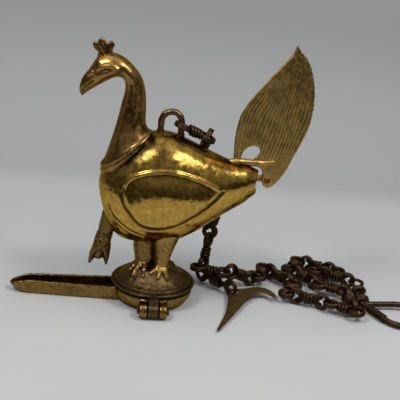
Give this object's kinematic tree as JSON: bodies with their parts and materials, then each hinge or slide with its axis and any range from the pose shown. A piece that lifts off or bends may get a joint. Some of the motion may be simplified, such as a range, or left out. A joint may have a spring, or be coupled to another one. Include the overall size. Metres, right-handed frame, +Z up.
{
  "type": "hanging chain oil lamp",
  "caption": "Brass oil lamp: a crested bird stands on the hinged lid of an oil pan with a wick trough, and a chain of wound wire links with a pick and an end loop hangs from its back.",
  "frame": {"origin": "centre of the pan's flat bottom, which the lamp stands on", "axes": "+X from the bird's beak to its tail, -Y to the lid hinge, +Z up"},
  "size_m": [0.3607, 0.1472, 0.2276],
  "materials": {
    "polished_brass": "worn bright cast brass with brown oxide in the hollows",
    "bronze_patina": "brown patina with a dull oily sheen",
    "dark_bronze": "dark brown patina",
    "wire_patina": "drawn wire with dark brown patina, rubbed lighter on top"
  },
  "bodies": {
    "pan": {"oil_pan": "bronze_patina", "hinge_pin": "dark_bronze"},
    "bird": {"lid": "bronze_patina", "near_leg": "polished_brass", "far_leg": "polished_brass", "bird_body": "polished_brass", "neck_head": "bronze_patina", "crest": "bronze_patina", "drip_spout": "bronze_patina", "tail_socket": "polished_brass", "tail_fan": "bronze_patina", "tail_rivet": "polished_brass", "bail": "dark_bronze"},
    "link_01": {"link_01": "wire_patina"},
    "link_02": {"link_02": "wire_patina"},
    "link_03": {"link_03": "wire_patina"},
    "link_04": {"link_04": "wire_patina"},
    "link_05": {"link_05": "wire_patina"},
    "link_06": {"link_06": "wire_patina"},
    "link_07": {"link_07": "wire_patina"},
    "link_08": {"link_08": "wire_patina"},
    "link_09": {"link_09": "wire_patina"},
    "link_10": {"link_10": "wire_patina"},
    "link_11": {"link_11": "wire_patina"},
    "link_12": {"link_12": "wire_patina"},
    "link_13": {"link_13": "wire_patina"},
    "link_14": {"link_14": "wire_patina"},
    "link_15": {"link_15": "wire_patina"},
    "link_16": {"link_16": "wire_patina"},
    "link_17": {"link_17": "wire_patina"},
    "link_18": {"link_18": "wire_patina"},
    "link_19": {"link_19": "wire_patina"},
    "link_20": {"link_20": "wire_patina"},
    "pick_link": {"pick_link": "wire_patina"},
    "wick_pick": {"wick_pick": "bronze_patina"},
    "hanging_loop": {"hanging_loop": "wire_patina"}
  },
  "joints": [
    {"name": "lid_hinge", "type": "hinge", "parent": "pan", "child": "bird", "pos_m": [0, -0.041, 0.0068], "axis": [1, 0, 0], "range_deg": [0, 95]},
    {"name": "link_01_swing", "type": "hinge", "parent": "bird", "child": "link_01", "pos_m": [0.0124, 0, 0.15375], "axis": [0, 0, 1], "range_deg": [0, 30]},
    {"name": "link_02_swing", "type": "hinge", "parent": "link_01", "child": "link_02", "pos_m": [0.03522, 0.00653, 0.14433], "axis": [0, 0, -1], "range_deg": [-8, 10]},
    {"name": "link_03_swing", "type": "hinge", "parent": "link_02", "child": "link_03", "pos_m": [0.03539, 0.03474, 0.12503], "axis": [-0.432, -0.6277, -0.6476], "range_deg": [0, 30]},
    {"name": "link_04_swing", "type": "hinge", "parent": "link_03", "child": "link_04", "pos_m": [0.05315, 0.04215, 0.106], "axis": [-0.432, -0.6277, -0.6476], "range_deg": [0, 35]},
    {"name": "link_05_swing", "type": "hinge", "parent": "link_04", "child": "link_05", "pos_m": [0.0556, 0.04527, 0.07252], "axis": [-0.5658, -0.8103, 0.1524], "range_deg": [0, 24]},
    {"name": "link_06_swing", "type": "hinge", "parent": "link_05", "child": "link_06", "pos_m": [0.05051, 0.04358, 0.04459], "axis": [0.5658, 0.8103, -0.1524], "range_deg": [-29, 0]},
    {"name": "link_07_swing", "type": "hinge", "parent": "link_06", "child": "link_07", "pos_m": [0.04342, 0.03215, 0.01661], "axis": [0, 0, 1], "range_deg": [0, 35]},
    {"name": "link_08_swing", "type": "hinge", "parent": "link_07", "child": "link_08", "pos_m": [0.0688, 0.02376, 0.01661], "axis": [0.3827, -0.9239, 0], "range_deg": [0, 25]},
    {"name": "link_09_swing", "type": "hinge", "parent": "link_08", "child": "link_09", "pos_m": [0.09652, 0.03524, 0.0078], "axis": [0, 0, 1], "range_deg": [0, 35]},
    {"name": "link_10_swing", "type": "hinge", "parent": "link_09", "child": "link_10", "pos_m": [0.11075, 0.05289, 0.0078], "axis": [0.8141, 0.5807, 0], "range_deg": [-30, 0]},
    {"name": "link_11_swing", "type": "hinge", "parent": "link_10", "child": "link_11", "pos_m": [0.12918, 0.02704, 0.0078], "axis": [0, 0, 1], "range_deg": [-2, 8]},
    {"name": "link_12_swing", "type": "hinge", "parent": "link_11", "child": "link_12", "pos_m": [0.1224, 0.00345, 0.0078], "axis": [0, 0, -1], "range_deg": [-3, 28]},
    {"name": "link_13_swing", "type": "hinge", "parent": "link_12", "child": "link_13", "pos_m": [0.15444, -0.01062, 0.0078], "axis": [0, 0, 1], "range_deg": [-40, 0]},
    {"name": "link_14_swing", "type": "hinge", "parent": "link_13", "child": "link_14", "pos_m": [0.17619, -0.02147, 0.0078], "axis": [0, 0, 1], "range_deg": [-40, 0]},
    {"name": "link_15_swing", "type": "hinge", "parent": "link_14", "child": "link_15", "pos_m": [0.17515, 0.01351, 0.0078], "axis": [0, 0, -1], "range_deg": [0, 12]},
    {"name": "link_16_swing", "type": "hinge", "parent": "link_15", "child": "link_16", "pos_m": [0.15254, 0.02789, 0.0078], "axis": [0, 0, -1], "range_deg": [-12, 0]},
    {"name": "link_17_swing", "type": "hinge", "parent": "link_16", "child": "link_17", "pos_m": [0.13343, 0.05721, 0.0078], "axis": [0, 0, -1], "range_deg": [-28, 0]},
    {"name": "link_18_swing", "type": "hinge", "parent": "link_17", "child": "link_18", "pos_m": [0.14955, 0.07594, 0.0078], "axis": [0.4909, 0.8712, 0], "range_deg": [-15, 0]},
    {"name": "link_19_swing", "type": "hinge", "parent": "link_18", "child": "link_19", "pos_m": [0.17721, 0.06035, 0.0078], "axis": [0, 0, -1], "range_deg": [-25, 0]},
    {"name": "link_20_swing", "type": "hinge", "parent": "link_19", "child": "link_20", "pos_m": [0.16193, 0.05361, 0.0078], "axis": [0.4985, 0.8669, 0], "range_deg": [-30, 0]},
    {"name": "pick_link_swing", "type": "hinge", "parent": "link_06", "child": "pick_link", "pos_m": [0.04684, 0.03708, 0.0106], "axis": [0, 0, 1], "range_deg": [-5, 1]},
    {"name": "wick_pick_swing", "type": "hinge", "parent": "pick_link", "child": "wick_pick", "pos_m": [0.07364, 0.00515, 0.00596], "axis": [0, -0.0593, 0.9982], "range_deg": [-25, 30]},
    {"name": "hanging_loop_swing", "type": "hinge", "parent": "link_20", "child": "hanging_loop", "pos_m": [0.18945, 0.03778, 0.00765], "axis": [-0.0049, -0.0609, 0.9981], "range_deg": [0, 40]}
  ]
}
